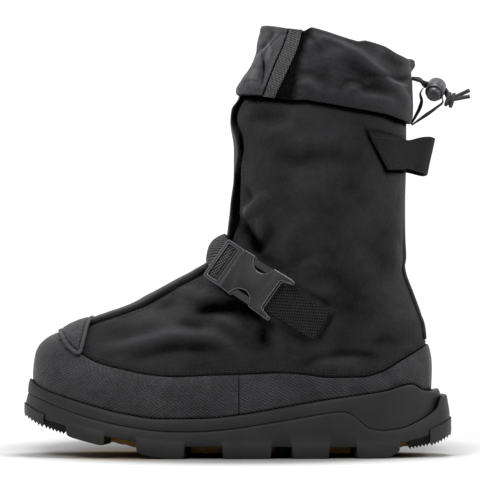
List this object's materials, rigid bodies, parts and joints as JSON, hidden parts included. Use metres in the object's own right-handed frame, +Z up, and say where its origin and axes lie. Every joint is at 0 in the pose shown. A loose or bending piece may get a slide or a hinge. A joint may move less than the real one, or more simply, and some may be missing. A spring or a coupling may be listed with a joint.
{
  "type": "winter overboot",
  "caption": "Tall fabric winter overboot with folded front gusset, rubberised rand, buckled instep strap, drawcord cuff, rear pull loop and rockered lug sole.",
  "frame": {"origin": "centre of the boot's footprint, on the floor under the sole", "axes": "-X toward the toe, +X toward the heel, -Y the outer side of the foot, +Z up"},
  "size_m": [0.3391, 0.1211, 0.3284],
  "materials": {
    "rubber": "moulded black rubber, matt",
    "amber_rubber": "amber rubber, matt",
    "nylon": "woven black nylon, dull",
    "coated_fabric": "black rubberised fabric with a pebble grain",
    "webbing": "ribbed black webbing",
    "plastic": "black moulded plastic, satin",
    "cord": "braided black cord",
    "board": "dark lining board"
  },
  "bodies": {
    "boot": {"back_tape": "nylon", "buckle_latch": "plastic", "buckle_socket": "plastic", "closure_tab": "nylon", "cord_lock_barrel": "plastic", "cord_tail_far": "cord", "cord_tail_near": "cord", "cuff": "nylon", "drawcord_far": "cord", "drawcord_knot": "cord", "drawcord_near": "cord", "grip_pad_forefoot": "amber_rubber", "grip_pad_heel": "amber_rubber", "gusset": "nylon", "heel_rand": "coated_fabric", "hook_strip": "webbing", "insole": "board", "instep_strap": "webbing", "lock_tether": "webbing", "loop_patch": "webbing", "midsole": "rubber", "outsole": "rubber", "pull_loop": "webbing", "strap_anchor": "webbing", "toe_patch": "coated_fabric", "toe_rand": "coated_fabric", "upper": "nylon"},
    "lock_button": {"cord_lock_button": "plastic"}
  },
  "joints": [
    {"name": "lock_button_press", "type": "slide", "parent": "boot", "child": "lock_button", "axis": [0.2505, 0.7816, 0.5712], "range_m": [0, 0.003], "stiffness_N_per_m": 1500}
  ]
}
